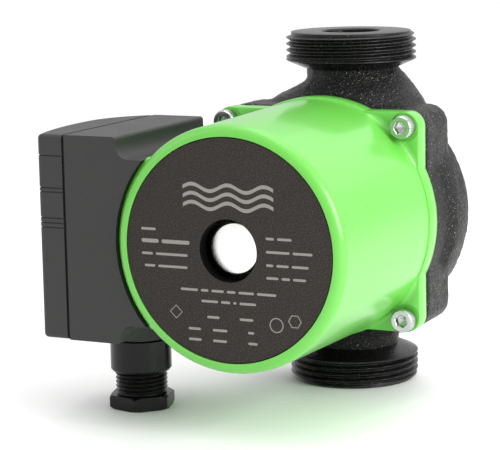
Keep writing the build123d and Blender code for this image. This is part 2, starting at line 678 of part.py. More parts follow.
# ---------------------------------------------------------------- mode button and its switch
BUTTON_TOP_X = -78.2
COLLAR_X = -74.0
with BuildPart() as mode_button:
    with BuildSketch(side(BUTTON_FORWARD, 0).offset(-COLLAR_X)):
        Circle(BUTTON_R)
    extrude(amount=COLLAR_X - BUTTON_TOP_X)
    chamfer(mode_button.edges().group_by(Axis.X)[0], length=0.4)
    with BuildSketch(side(BUTTON_FORWARD, 0).offset(-COLLAR_X)):
        Circle(BUTTON_R + 1.2)
    extrude(amount=1)
    with BuildSketch(side(BUTTON_FORWARD, 0).offset(-COLLAR_X)):
        Circle(1.6)
    extrude(amount=-13.1)
mode_button.part.label = "mode_button"
export_step(mode_button.part, "parts/mode_button.step")

with BuildPart() as mode_switch:
    with BuildSketch(side(BUTTON_FORWARD, 0).offset(-BOARD_X)):
        Rectangle(6, 6)
    extrude(amount=6)
    with BuildSketch(side(BUTTON_FORWARD, 0).offset(-BOARD_X + 6)):
        Circle(1.7)
    extrude(amount=1.8)
mode_switch.part.label = "mode_switch"
export_step(mode_switch.part, "parts/mode_switch.step")

# ---------------------------------------------------------------- control board and its parts
with BuildPart() as control_board:
    with BuildSketch(side(72.5, 1.5).offset(-BOARD_X)):
        Rectangle(55, 57)
    extrude(amount=-BOARD_THICKNESS)
    for forward, height in POST_PLACES:
        with BuildSketch(side(forward, height).offset(-BOARD_X)):
            Rectangle(14, 12)
        extrude(amount=-BOARD_THICKNESS, mode=Mode.SUBTRACT)
    with BuildSketch(side(70, -25).offset(-BOARD_X)):
        Rectangle(14, 12)
    extrude(amount=-BOARD_THICKNESS, mode=Mode.SUBTRACT)
control_board.part.label = "control_board"
export_step(control_board.part, "parts/control_board.step")

CAPACITOR_R = 6.2
capacitor_plane = Plane(origin=(BOARD_X - CAPACITOR_R - 0.1, -60, AXIS_Z + 20), z_dir=(0, -1, 0))
with BuildPart(capacitor_plane) as bus_capacitor:
    Cylinder(CAPACITOR_R, 24, align=BASE)
    fillet(bus_capacitor.edges(), radius=0.8)
bus_capacitor.part.label = "bus_capacitor"
export_step(bus_capacitor.part, "parts/bus_capacitor.step")

with BuildPart() as power_module:
    with BuildSketch(side(70, 8.5).offset(-BOARD_X)):
        Rectangle(20, 7)
    extrude(amount=3)
power_module.part.label = "power_module"
export_step(power_module.part, "parts/power_module.step")

with BuildPart() as line_choke:
    with BuildSketch(side(89, -11).offset(-BOARD_X)):
        RectangleRounded(12, 11, 2)
    extrude(amount=13)
    with BuildSketch(side(89, -11).offset(-BOARD_X)):
        Circle(2.5)
    extrude(amount=13, mode=Mode.SUBTRACT)
line_choke.part.label = "line_choke"
export_step(line_choke.part, "parts/line_choke.step")

with BuildPart() as status_lights:
    for step in (-2.4, 0, 2.4):
        with BuildSketch(side(WINDOW_PLACE[0] + step, 0).offset(-BOARD_X)):
            Rectangle(1.6, 1.6)
        extrude(amount=1.2)
status_lights.part.label = "status_lights"
export_step(status_lights.part, "parts/status_lights.step")

POLE_PITCH = 5.0
BLOCK_BOTTOM = -17.0
with BuildPart() as terminal_block:
    with BuildSketch(side(70, BLOCK_BOTTOM + 5).offset(-BOARD_X)):
        Rectangle(3 * POLE_PITCH + 1, 10)
    extrude(amount=12)
    for pole in (-1, 0, 1):
        with BuildSketch(side(70 + pole * POLE_PITCH, BLOCK_BOTTOM + 6).offset(-BOARD_X + 12)):
            Circle(1.9)
        extrude(amount=-8, mode=Mode.SUBTRACT)
        with BuildSketch(Plane.XY.offset(AXIS_Z + BLOCK_BOTTOM)):
            with Locations((BOARD_X - 4.2, -70 - pole * POLE_PITCH)):
                Circle(1.6)
        extrude(amount=8, mode=Mode.SUBTRACT)
terminal_block.part.label = "terminal_block"
export_step(terminal_block.part, "parts/terminal_block.step")

with BuildPart() as terminal_screws:
    for pole in (-1, 0, 1):
        with BuildSketch(side(70 + pole * POLE_PITCH, BLOCK_BOTTOM + 6).offset(-BOARD_X + 6.2)):
            Circle(1.8)
        extrude(amount=4)
        with BuildSketch(side(70 + pole * POLE_PITCH, BLOCK_BOTTOM + 6).offset(-BOARD_X + 10.2)):
            Rectangle(3, 0.6)
        extrude(amount=-0.8, mode=Mode.SUBTRACT)
terminal_screws.part.label = "terminal_screws"
export_step(terminal_screws.part, "parts/terminal_screws.step")

with BuildPart() as stator_connector:
    with BuildSketch(side(66, 0).offset(38.7)):
        Rectangle(WINDOW_LENGTH - 1.4, WINDOW_HEIGHT - 2)
    extrude(amount=-BOARD_X - BOARD_THICKNESS - 38.7)
stator_connector.part.label = "stator_connector"
export_step(stator_connector.part, "parts/stator_connector.step")

with BuildPart() as box_fixing_screws:
    for place in FIXING_PLACES:
        with BuildSketch(side(place, 0).offset(-FLOOR_X)):
            Circle(3.4)
        extrude(amount=2.4)
        with BuildSketch(side(place, 0).offset(-FLOOR_X)):
            Circle(1.7)
        extrude(amount=-7.2)
        with BuildSketch(side(place, 0).offset(-FLOOR_X + 2.4)):
            Rectangle(4, 0.8)
            Rectangle(0.8, 4)
        extrude(amount=-1.3, mode=Mode.SUBTRACT)
box_fixing_screws.part.label = "box_fixing_screws"
export_step(box_fixing_screws.part, "parts/box_fixing_screws.step")

# ---------------------------------------------------------------- cable gland
COLLAR_R = 10.9
COLLAR_BOTTOM = 13.3
COLLAR_TOP = 24.9
NUT_BORE_R = 5.2
NUT_TOP = 16.5
HEX_HEIGHT = 4.9
HEX_ACROSS = 21.0
HEX_TURN = -14.5
GLAND_AXIS = Axis((GLAND_X, GLAND_Y, 0), (0, 0, 1))
GLAND_SECTION = Plane(origin=(GLAND_X, GLAND_Y, 0), x_dir=(1, 0, 0), z_dir=(0, -1, 0))
with BuildPart() as gland_body:
    with BuildSketch(GLAND_SECTION):
        with BuildLine():
            Polyline(
                (9.5, COLLAR_BOTTOM), (COLLAR_R - 0.7, COLLAR_BOTTOM),
                (COLLAR_R, COLLAR_BOTTOM + 0.9), (COLLAR_R, COLLAR_TOP),
                (GLAND_BORE_R - 0.1, COLLAR_TOP), (GLAND_BORE_R - 0.1, GLAND_TOP),
                (NUT_BORE_R, GLAND_TOP),
                (NUT_BORE_R, 31.6), (7.0, 31.6), (7.0, 23.9), (9.5, 23.9), close=True,
            )
        make_face()
    revolve(axis=GLAND_AXIS)
gland_body.part.label = "gland_body"
export_step(gland_body.part, "parts/gland_body.step")

with BuildPart(GLAND.offset(22.3)) as gland_grommet:
    Cylinder(6.7, 9.2, align=BASE)
    Cylinder(NUT_BORE_R, 9.2, align=BASE, mode=Mode.SUBTRACT)
gland_grommet.part.label = "gland_grommet"
export_step(gland_grommet.part, "parts/gland_grommet.step")

with BuildPart(GLAND.offset(NUT_TOP + 0.1)) as gland_washer:
    Cylinder(8.7, 1, align=BASE)
    Cylinder(NUT_BORE_R, 1, align=BASE, mode=Mode.SUBTRACT)
gland_washer.part.label = "gland_washer"
export_step(gland_washer.part, "parts/gland_washer.step")

nut_thread = thread_profile(8.6, 9.25, 0.65, 1.5, 7, 0.9, 0.35)
nut_corners = [(NUT_BORE_R, 0.0), (8.6, 0.0)]
nut_corners += [(radius, NUT_TOP - along) for radius, along in reversed(nut_thread)]
nut_corners += [(NUT_BORE_R, NUT_TOP)]
with BuildPart() as gland_nut:
    with BuildSketch(GLAND):
        RegularPolygon(HEX_ACROSS / 2, 6, major_radius=False, rotation=HEX_TURN)
    extrude(amount=HEX_HEIGHT)
    with BuildSketch(GLAND_SECTION):
        with BuildLine():
            Polyline(
                (0, 0), (11.6, 0), (12.3, 0.5), (12.3, 3.6), (9.6, HEX_HEIGHT), (0, HEX_HEIGHT),
                close=True,
            )
        make_face()
    revolve(axis=GLAND_AXIS, mode=Mode.INTERSECT)
    with BuildSketch(GLAND_SECTION):
        with BuildLine():
            Polyline(nut_corners, close=True)
        make_face()
    revolve(axis=GLAND_AXIS)
    with BuildSketch(GLAND):
        Circle(NUT_BORE_R)
    extrude(amount=NUT_TOP, mode=Mode.SUBTRACT)
gland_nut.part.label = "gland_nut"
export_step(gland_nut.part, "parts/gland_nut.step")
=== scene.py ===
"""Looks of the circulator pump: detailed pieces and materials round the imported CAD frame."""
import json
import math

import bmesh
import bpy
from mathutils import Matrix, Vector, noise


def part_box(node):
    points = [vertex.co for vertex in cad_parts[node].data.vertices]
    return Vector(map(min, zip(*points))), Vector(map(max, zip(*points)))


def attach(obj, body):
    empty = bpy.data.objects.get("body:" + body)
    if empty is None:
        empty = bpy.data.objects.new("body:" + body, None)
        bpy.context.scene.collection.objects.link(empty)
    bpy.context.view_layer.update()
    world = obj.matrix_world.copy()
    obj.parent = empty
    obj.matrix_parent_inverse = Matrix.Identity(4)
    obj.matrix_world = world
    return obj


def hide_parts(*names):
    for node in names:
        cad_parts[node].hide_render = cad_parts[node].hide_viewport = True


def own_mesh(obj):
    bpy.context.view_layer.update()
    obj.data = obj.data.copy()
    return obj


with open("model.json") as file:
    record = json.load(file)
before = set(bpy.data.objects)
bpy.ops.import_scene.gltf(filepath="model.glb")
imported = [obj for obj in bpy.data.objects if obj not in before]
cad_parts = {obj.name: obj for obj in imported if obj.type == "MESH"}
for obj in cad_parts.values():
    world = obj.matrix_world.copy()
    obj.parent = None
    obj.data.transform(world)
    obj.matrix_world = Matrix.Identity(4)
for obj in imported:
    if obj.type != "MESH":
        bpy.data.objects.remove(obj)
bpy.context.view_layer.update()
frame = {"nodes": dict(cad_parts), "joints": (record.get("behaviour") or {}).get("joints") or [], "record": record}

MM = 0.001
TAU = 2 * math.pi
BODY = "pump"

# ------------------------------------------------------------------ places from the frame, in mm
MOUNTS = {mount["name"]: mount for mount in frame["record"]["mounts"]}
JOINTS = {joint["name"]: joint for joint in frame["joints"]}


def node_box(node):
    """Lowest and highest corner of a CAD node."""
    low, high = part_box(node)
    return low / MM, high / MM


def front_of(node):
    """How far forward of the pipe axis a CAD node ends."""
    return -node_box(node)[0].y


def back_of(node):
    """How far forward of the pipe axis a CAD node begins."""
    return -node_box(node)[1].y


PORT_TOP = MOUNTS["upper_port_bore"]["pos_m"][2] / MM
PORT_BORE_R = MOUNTS["upper_port_bore"]["dims"]["r_mm"]
LOWER_BORE_LENGTH = MOUNTS["lower_port_bore"]["dims"]["length_mm"]
UPPER_BORE_LENGTH = MOUNTS["upper_port_bore"]["dims"]["length_mm"]
AXIS_Z = JOINTS["rotor_spin"]["pos_m"][2] / MM
GLAND_X = MOUNTS["cable_entry"]["pos_m"][0] / MM
GLAND_Y = MOUNTS["cable_entry"]["pos_m"][1] / MM
CABLE_R = MOUNTS["cable_entry"]["dims"]["r_mm"]

BLOCK_FRONT = front_of("pump_casing")
HOUSING_FRONT = front_of("motor_housing")
SCREW_FRONT = front_of("housing_screws")
PLATE_FRONT = front_of("nameplate")
PLATE_BACK = back_of("nameplate")
PLATE_R = node_box("nameplate")[1].x
NOSE_END = front_of("rotor_can")
CAN_FLANGE_BACK = back_of("rotor_can")
CAN_FLANGE_R = node_box("rotor_can")[1].x
NUT_TOP = node_box("gland_nut")[1].z

# ------------------------------------------------------------------ sizes shared with the CAD
THREAD_CREST_R = 23.9
THREAD_PITCH = 2.309
THREAD_DEPTH = 1.479
PORT_FACE_R = 22.1
NECK_R = 16.5
FLANGE_BACK = 26.0
FLANGE_FRONT = 33.2
FLANGE_HALF = 39.3
FLANGE_CORNER_R = 5.5
FLANGE_CIRCLE_R = 43.6
BODY_BACK_R = 43.0
BODY_FRONT_R = 41.6
LAND_R = 42.9
LAND_HALF_DEG = 43.5
BORE_R = 38.3
HOLE_R = 10.6
SCREW_OFFSET = 34.25
BLOCK_HALF = 39.5
CAN_R = 23.4
CAN_WALL = 0.4
CAN_FRONT = 91.6
CAN_FLANGE_FRONT = 24.4
NOSE_R = 9.1

# the smallest radius in a lathe loop that closes on its axis
AXIS_R = 0.02

# Local frames: MOTOR has local X to the right, Y up and Z forward; GLAND stands on the floor.
MOTOR = Matrix(((1, 0, 0, 0), (0, 0, -1, 0), (0, 1, 0, AXIS_Z), (0, 0, 0, 1)))
GLAND = Matrix.Translation((GLAND_X, GLAND_Y, 0))
WORLD = Matrix.Identity(4)


# ------------------------------------------------------------------ mesh helpers
SHARP_DEG = 32
WELD = 0.002


def crease(obj):
    """Smooth shading that stays sharp at creases."""
    obj.data.shade_smooth()
    obj.data.set_sharp_from_angle(angle=math.radians(SHARP_DEG))


def make_object(name, points, faces, place):
    """Welded mesh object from millimetre points in a local frame, with its faces outwards."""
    mesh = bpy.data.meshes.new(name)
    mesh.from_pydata([(place @ Vector(point)) * MM for point in points], [], faces)
    mesh.update()
    obj = bpy.data.objects.new(name, mesh)
    bpy.context.scene.collection.objects.link(obj)
    bm = bmesh.new()
    bm.from_mesh(mesh)
    bmesh.ops.remove_doubles(bm, verts=bm.verts, dist=WELD * MM)
    bmesh.ops.recalc_face_normals(bm, faces=bm.faces)
    bm.to_mesh(mesh)
    bm.free()
    crease(obj)
    return obj


def apply_modifiers(obj):
    """Bakes the modifiers of a new piece into its mesh."""
    bpy.context.view_layer.update()
    graph = bpy.context.evaluated_depsgraph_get()
    mesh = bpy.data.meshes.new_from_object(obj.evaluated_get(graph))
    obj.modifiers.clear()
    old = obj.data
    obj.data = mesh
    bpy.data.meshes.remove(old)


def cut(obj, *cutters):
    """Subtracts cutter objects from a piece and deletes them."""
    for cutter in cutters:
        mod = obj.modifiers.new("cut", "BOOLEAN")
        mod.operation = "DIFFERENCE"
        mod.solver = "EXACT"
        mod.object = cutter
    apply_modifiers(obj)
    for cutter in cutters:
        bpy.data.objects.remove(cutter)
    crease(obj)


def join(name, parts):
    """Joins new pieces into one object."""
    bm = bmesh.new()
    for part in parts:
        bm.from_mesh(part.data)
    mesh = bpy.data.meshes.new(name)
    bm.to_mesh(mesh)
    bm.free()
    for part in parts:
        bpy.data.objects.remove(part)
    obj = bpy.data.objects.new(name, mesh)
    bpy.context.scene.collection.objects.link(obj)
    crease(obj)
    return obj


def rounded(corners, steps=6):
    """Polyline through (x, y, radius) corners, with each corner rounded to its radius."""
    path = []
    for index, (x, y, radius) in enumerate(corners):
        here = Vector((x, y))
        if radius <= 0 or index in (0, len(corners) - 1):
            path.append((x, y))
            continue
        before = (Vector(corners[index - 1][:2]) - here).normalized()
        after = (Vector(corners[index + 1][:2]) - here).normalized()
        half = before.angle(after) / 2
        reach = radius / math.tan(half)
        centre = here + (before + after).normalized() * (radius / math.sin(half))
        start = here + before * reach - centre
        turn = start.angle_signed(here + after * reach - centre)
        for step in range(steps + 1):
            spoke = start.copy()
            spoke.rotate(Matrix.Rotation(-turn * step / steps, 2))
            path.append(tuple(centre + spoke))
    return path


def turned(name, profile_at, place, steps):
    """Ring-shaped solid of columns round local Z: profile_at(angle) is a closed (radius, height) loop."""
    columns = [profile_at(TAU * step / steps) for step in range(steps)]
    count = len(columns[0])
    points = []
    for step, column in enumerate(columns):
        angle = TAU * step / steps
        points += [(r * math.cos(angle), r * math.sin(angle), h) for r, h in column]
    faces = []
    for step in range(steps):
        a = step * count
        b = (step + 1) % steps * count
        faces += [(a + k, b + k, b + (k + 1) % count, a + (k + 1) % count) for k in range(count)]
    return make_object(name, points, faces, place)


def lathe(name, loop, place, steps=128):
    """Turns one closed (radius, height) loop about local Z."""
    return turned(name, lambda angle: loop, place, steps)


def stack(name, rings, place):
    """Closed solid through rings of equally many points, each a list of 3-D points."""
    count = len(rings[0])
    points = [point for ring in rings for point in ring]
    last = (len(rings) - 1) * count
    faces = [tuple(range(count))[::-1], tuple(range(last, last + count))]
    for a in range(0, last, count):
        b = a + count
        faces += [(a + k, a + (k + 1) % count, b + (k + 1) % count, b + k) for k in range(count)]
    return make_object(name, points, faces, place)


def prism(name, outline, low, high, place):
    """Closed solid from an outline in local X and Y, between two heights."""
    return stack(name, [[(x, y, height) for x, y in outline] for height in (low, high)], place)


def round_ring(x, y, half_x, half_y, height, steps=96):
    """Points round an ellipse at one height."""
    angles = [TAU * k / steps for k in range(steps)]
    return [(x + half_x * math.cos(a), y + half_y * math.sin(a), height) for a in angles]


def cylinder(name, radius, low, high, place, steps=96):
    """Plain closed cylinder."""
    rings = [round_ring(0, 0, radius, radius, height, steps) for height in (low, high)]
    return stack(name, rings, place)


def shifted(place, x, y):
    """A local frame moved along its own X and Y."""
    return place @ Matrix.Translation((x, y, 0))


def arc(radius, start_deg, end_deg, steps):
    """Points along an arc about the origin, both ends included."""
    span = end_deg - start_deg
    angles = [math.radians(start_deg + span * k / steps) for k in range(steps + 1)]
    return [(radius * math.cos(a), radius * math.sin(a)) for a in angles]


# ------------------------------------------------------------------ materials
COAT_ROUGH = 0.08
GLOSS_LIMIT = 0.02


def surface(name, colour, rough, metal=0.0, grain_mm=0.5, bump=0.15, tint=0.08,
            rough_spread=0.08, cloud_mm=14.0, coat=0.0, speckle_and_glints=None, stretch=(1, 1, 1),
            specular=0.5):
    """Procedural material: grain bump, uneven colour and gloss, and optional light dots (painted glints on the
    iron, real speckle on the foil).

    speckle_and_glints is (colour, size in mm, noise level where a dot begins, level where it is full).
    """
    mat = bpy.data.materials.new(name)
    mat.use_nodes = True
    nodes = mat.node_tree.nodes
    links = mat.node_tree.links
    shader = nodes["Principled BSDF"]
    shader.inputs["Metallic"].default_value = metal
    shader.inputs["Specular IOR Level"].default_value = specular
    shader.inputs["Coat Weight"].default_value = coat
    shader.inputs["Coat Roughness"].default_value = COAT_ROUGH
    coords = nodes.new("ShaderNodeTexCoord")
    scaled = nodes.new("ShaderNodeMapping")
    scaled.inputs["Scale"].default_value = stretch
    links.new(coords.outputs["Object"], scaled.inputs["Vector"])

    def noise_node(size_mm, detail):
        node = nodes.new("ShaderNodeTexNoise")
        node.inputs["Scale"].default_value = 1 / (size_mm * MM)
        node.inputs["Detail"].default_value = detail
        links.new(scaled.outputs["Vector"], node.inputs["Vector"])
        return node

    grain = noise_node(grain_mm, 3)
    cloud = noise_node(cloud_mm, 5)
    mix = nodes.new("ShaderNodeMix")
    mix.data_type = "RGBA"
    mix.inputs["A"].default_value = [c * (1 - tint) for c in colour] + [1]
    mix.inputs["B"].default_value = [min(1, c * (1 + tint)) for c in colour] + [1]
    links.new(cloud.outputs["Fac"], mix.inputs["Factor"])
    paint = mix.outputs["Result"]
    if speckle_and_glints:
        speckle_and_glint_colour, speckle_and_glint_mm, low, high = speckle_and_glints
        dots = noise_node(speckle_and_glint_mm, 2)
        level = nodes.new("ShaderNodeMapRange")
        level.inputs["From Min"].default_value = low
        level.inputs["From Max"].default_value = high
        links.new(dots.outputs["Fac"], level.inputs["Value"])
        over = nodes.new("ShaderNodeMix")
        over.data_type = "RGBA"
        over.inputs["B"].default_value = [*speckle_and_glint_colour, 1]
        links.new(level.outputs["Result"], over.inputs["Factor"])
        links.new(paint, over.inputs["A"])
        paint = over.outputs["Result"]
    links.new(paint, shader.inputs["Base Color"])
    gloss = nodes.new("ShaderNodeMapRange")
    gloss.inputs["To Min"].default_value = max(GLOSS_LIMIT, rough - rough_spread)
    gloss.inputs["To Max"].default_value = min(1.0, rough + rough_spread)
    links.new(cloud.outputs["Fac"], gloss.inputs["Value"])
    links.new(gloss.outputs["Result"], shader.inputs["Roughness"])
    relief = nodes.new("ShaderNodeBump")
    relief.inputs["Strength"].default_value = bump
    relief.inputs["Distance"].default_value = grain_mm * MM
    links.new(grain.outputs["Fac"], relief.inputs["Height"])
    links.new(relief.outputs["Normal"], shader.inputs["Normal"])
    return mat


MATERIALS = {
    # the light specks on the coated iron are painted glints
    "cast_iron_black": surface("iron_coated", (0.0055, 0.006, 0.0055), 0.36, grain_mm=0.8, bump=0.95,
                               tint=0.3, speckle_and_glints=((0.42, 0.42, 0.38), 0.48, 0.655, 0.72),
                               specular=0.25),
    "green_paint": surface("paint_green", (0.125, 0.50, 0.06), 0.30, grain_mm=1.1, bump=0.045,
                           tint=0.04, rough_spread=0.05, coat=0.35),
    "black_plastic": surface("plastic_black", (0.021, 0.0215, 0.0205), 0.47, grain_mm=0.45,
                             bump=0.42, tint=0.16, specular=0.45),
    "dark_plastic": surface("plastic_dark", (0.003, 0.003, 0.0027), 0.28, grain_mm=0.6, bump=0.10,
                            specular=0.26),
    "nameplate_foil": surface("foil_brown", (0.022, 0.0185, 0.016), 0.58, grain_mm=0.5, bump=0.5,
                              tint=0.14, speckle_and_glints=((0.085, 0.072, 0.062), 0.42, 0.48, 0.80),
                              specular=0.18),
    "zinc_steel": surface("zinc", (0.50, 0.52, 0.50), 0.17, metal=1.0, grain_mm=0.5, bump=0.10,
                          tint=0.12, cloud_mm=3.0),
    "stainless": surface("steel_bright", (0.90, 0.90, 0.88), 0.24, metal=1.0, grain_mm=0.4,
                         bump=0.04, tint=0.05),
    "ceramic": surface("ceramic_ground", (0.85, 0.83, 0.78), 0.30, grain_mm=0.3, bump=0.05),
    "carbon": surface("carbon_lapped", (0.03, 0.03, 0.033), 0.35, grain_mm=0.3, bump=0.06),
    "epdm": surface("rubber_black", (0.012, 0.012, 0.012), 0.72, grain_mm=0.35, bump=0.16),
    "impeller_plastic": surface("plastic_glass_filled", (0.05, 0.05, 0.055), 0.48, grain_mm=0.4,
                                bump=0.14),
    "magnet": surface("ferrite", (0.07, 0.07, 0.075), 0.60, grain_mm=0.5, bump=0.2),
    "electrical_steel": surface("laminations", (0.34, 0.35, 0.37), 0.38, metal=1.0, grain_mm=0.5,
                                bump=0.30, stretch=(0.15, 1, 0.15)),
    "copper": surface("copper_enamelled", (0.62, 0.25, 0.09), 0.30, metal=0.9, grain_mm=0.4,
                      bump=0.30, coat=0.4),
    "bobbin_plastic": surface("nylon_natural", (0.74, 0.71, 0.60), 0.45, grain_mm=0.5, bump=0.07),
    "circuit_board": surface("solder_mask", (0.012, 0.13, 0.045), 0.28, grain_mm=0.6, bump=0.06),
    "component_plastic": surface("plastic_moulded", (0.02, 0.02, 0.023), 0.38, grain_mm=0.35,
                                 bump=0.12),
    "terminal_plastic": surface("nylon_grey", (0.36, 0.38, 0.39), 0.46, grain_mm=0.4, bump=0.08),
    "clear_plastic": surface("light_guide", (0.70, 0.76, 0.79), 0.12, grain_mm=0.8, bump=0.03),
    "button_plastic": surface("plastic_grey", (0.14, 0.145, 0.15), 0.45, grain_mm=0.3, bump=0.16),
}
# the light specks on the machined iron are painted glints
IRON_MACHINED = surface("iron_machined", (0.0035, 0.0038, 0.0033), 0.27, grain_mm=0.5, bump=0.26,
                        tint=0.3, rough_spread=0.06, specular=0.30,
                        speckle_and_glints=((0.40, 0.40, 0.37), 0.40, 0.70, 0.76))
# near-black painted shade for the recessed wall seen through the plate's hole
HOLE_SHADE = surface("hole_painted_shade", (0.0025, 0.002, 0.002), 0.60, grain_mm=0.4, bump=0.12,
                    specular=0.05)
INK = surface("print_grey", (0.235, 0.225, 0.205), 0.50, grain_mm=0.3, bump=0.05, tint=0.06)
FLOOR_WHITE = surface("floor_pale", (0.93, 0.93, 0.925), 0.55, grain_mm=3.0, bump=0.02, tint=0.01,
                      cloud_mm=300.0)


def finish_piece(obj, slot_name, material=None, body=BODY, stands_for=()):
    """Gives a new piece its material, chosen by slot name unless one is given, puts it on its body and hides the
    CAD nodes that it stands for.
    """
    obj.data.materials.clear()
    obj.data.materials.append(material or MATERIALS[slot_name])
    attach(obj, body)
    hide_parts(*stands_for)


for part in frame["record"]["subparts"]:
    node = frame["nodes"][part["node"]]
    node.data.materials.clear()
    node.data.materials.append(MATERIALS[part["material_slot"]])
    for polygon in node.data.polygons:
        polygon.material_index = 0


# ------------------------------------------------------------------ port rings with real threads
THREAD_FLAT = 0.14
THREAD_FLANK = 1 - 2 * THREAD_FLAT
THREAD_START = 0.4
THREAD_END = 10.3
THREAD_SINK = 0.05
FADE_END = 9.9
FADE_RUN = 0.9
RING_FOOT = 13.4
RING_ROWS = 96
BORE_CHAMFER = 0.5
FACE_EDGE = 0.3
FACE_EDGE_HIGH = 0.12
FACE_RUN = 1.1
SHOULDER_IN = 0.5
SHOULDER_HIGH = 0.35
FOOT_OUT = 0.6


def helix(height, angle, pitch):
    """0 on a thread's crest and 1 in its root, for a right-hand thread; flats on both."""
    phase = (height / pitch - angle / TAU) % 1.0
    slope = abs(2 * phase - 1)
    return min(1.0, max(0.0, (slope - THREAD_FLAT) / THREAD_FLANK))


def ring_profile(angle):
    """Port ring: bore, flat face, chamfer, thread and the taper down to the neck."""
    loop = [(PORT_BORE_R, RING_FOOT), (PORT_BORE_R, BORE_CHAMFER), (PORT_BORE_R + BORE_CHAMFER, 0.0),
            (PORT_FACE_R - FACE_EDGE, 0.0), (PORT_FACE_R, FACE_EDGE_HIGH)]
    for row in range(RING_ROWS + 1):
        height = THREAD_START + (THREAD_END - THREAD_START) * row / RING_ROWS
        crest = min(THREAD_CREST_R, PORT_FACE_R + (height - FACE_EDGE_HIGH) * FACE_RUN)
        fade = min(1.0, max(0.0, (FADE_END - height) / FADE_RUN))
        depth = THREAD_DEPTH * fade * helix(height, angle, THREAD_PITCH)
        loop.append((max(crest - depth, PORT_FACE_R - THREAD_SINK), height))
    loop += [(THREAD_CREST_R - SHOULDER_IN, THREAD_END + SHOULDER_HIGH), (NECK_R + FOOT_OUT, RING_FOOT)]
    return loop


UPPER_PORT = Matrix.Translation((0, 0, PORT_TOP)) @ Matrix.Rotation(math.pi, 4, "X")
for ring_name, ring_place in (("port_ring_lower", WORLD), ("port_ring_upper", UPPER_PORT)):
    ring = turned(ring_name, ring_profile, ring_place, 240)
    finish_piece(ring, "cast_iron_black", IRON_MACHINED, stands_for=("pump_casing",))

# ------------------------------------------------------------------ iron casting
VOXEL = 0.95
BLEND_SHARE = 0.5
BLEND_PASSES = 2
SKIN_IN = 0.05
FINE_DEEP = 0.20
FINE_PER_MM = 0.62
BROAD_DEEP = 0.22
BROAD_PER_MM = 0.17

BLOCK_CORNER_R = 7.1
BLOCK_SKIN = 0.1
REGISTER_R = 43.0
REGISTER_BACK = 13.0
REGISTER_GAP = 0.2
SPINE_INSET = 10.0
SPINE_R = NECK_R - 0.1
VOLUTE_X = 1.5
VOLUTE_Y = -0.5

# inset from the block's sides and distance forward, from its rounded back to its flat front
BLOCK_LEVELS = ((3.5, 1.5), (1.75, 1.95), (0.6, 3.1), (0.0, 5.0), (0.0, BLOCK_FRONT))
# radius and distance forward of the volute's bulge, and of the elbow behind it
VOLUTE_LEVELS = ((35.7, -8.8), (39.3, -8.2), (41.9, -6.0), (43.3, -2.6), (43.6, 1.0),
                 (43.6, 6.0), (43.1, 9.6), (41.5, 12.2), (38.7, 13.6))
ELBOW_LEVELS = ((13.6, -17.3), (16.4, -16.4), (18.0, -14.4), (18.3, -12.0), (18.3, 4.5))
# height, middle x, middle y and half widths of the flares between the ports and the body
UPPER_FLARE = ((117.4, 0, 0, 16.4, 16.4), (112, 2.8, -0.8, 19.4, 17.4),
               (105, 0.8, -5.5, 29.3, 19.3), (98, 0, -6.5, 30.8, 19.8))
LOWER_FLARE = ((12.8, 0, 0, 16.4, 16.4), (19, 0, -1, 18.4, 17.2),
               (26, 0, -4.5, 24.3, 18.3), (33, 0, -6, 27.8, 19.3))
# radius and distance forward of the hollow that the motor closes
CHAMBER = ((AXIS_R, 8.0), (27.5, 8.0), (27.5, 3.0), (38.5, 3.0), (38.5, 16.0), (36.0, 19.0),
           (36.0, 22.0), (40.2, 22.0), (40.2, 30.0), (AXIS_R, 30.0))


def square_reach(angle, half, corner):
    """Distance from a rounded square's centre to its edge."""
    across, up = abs(math.cos(angle)), abs(math.sin(angle))
    reach = half / max(across, up)
    inner = half - corner
    if reach * min(across, up) > inner:
        near = inner * (across + up)
        reach = near + math.sqrt(max(0.0, near * near - 2 * inner * inner + corner * corner))
    return reach


def square_ring(half, corner, height, steps=96):
    """Points round a rounded square at one height."""
    angles = [TAU * k / steps for k in range(steps)]
    reaches = [square_reach(a, half, corner) for a in angles]
    return [(r * math.cos(a), r * math.sin(a), height) for a, r in zip(angles, reaches)]


def eased(levels, parts=6):
    """More levels between the given ones, along smooth curves."""
    out = []
    for k in range(len(levels) - 1):
        before = levels[max(0, k - 1)]
        after = levels[min(len(levels) - 1, k + 2)]
        for part in range(parts):
            t = part / parts
            row = []
            for p0, p1, p2, p3 in zip(before, levels[k], levels[k + 1], after):
                row.append(0.5 * (2 * p1 + (p2 - p0) * t + (2 * p0 - 5 * p1 + 4 * p2 - p3) * t * t
                                  + (3 * p1 - p0 - 3 * p2 + p3) * t ** 3))
            out.append(row)
    out.append(list(levels[-1]))
    return out


def flare(name, levels):
    """Smooth stock between a port's neck and the body."""
    return stack(name, [round_ring(x, y, a, b, h) for h, x, y, a, b in eased(levels)], WORLD)


block = [square_ring(BLOCK_HALF + BLOCK_SKIN - inset, BLOCK_CORNER_R - inset, forward)
         for inset, forward in BLOCK_LEVELS]
volute = [round_ring(VOLUTE_X, VOLUTE_Y, radius, radius, forward) for radius, forward in VOLUTE_LEVELS]
elbow = [round_ring(0, 0, radius, radius, forward) for radius, forward in ELBOW_LEVELS]
casting = join("casting", [
    stack("block", block, MOTOR),
    cylinder("register", REGISTER_R, REGISTER_BACK, BLOCK_FRONT - REGISTER_GAP, MOTOR, 128),
    stack("volute", volute, MOTOR),
    stack("elbow", elbow, MOTOR),
    cylinder("spine", SPINE_R, SPINE_INSET, PORT_TOP - SPINE_INSET, WORLD),
    flare("flare_top", UPPER_FLARE),
    flare("flare_low", LOWER_FLARE),
])
remesh = casting.modifiers.new("skin", "REMESH")
remesh.mode = "VOXEL"
remesh.voxel_size = VOXEL * MM
smooth = casting.modifiers.new("blend", "SMOOTH")
smooth.factor = BLEND_SHARE
smooth.iterations = BLEND_PASSES
apply_modifiers(casting)

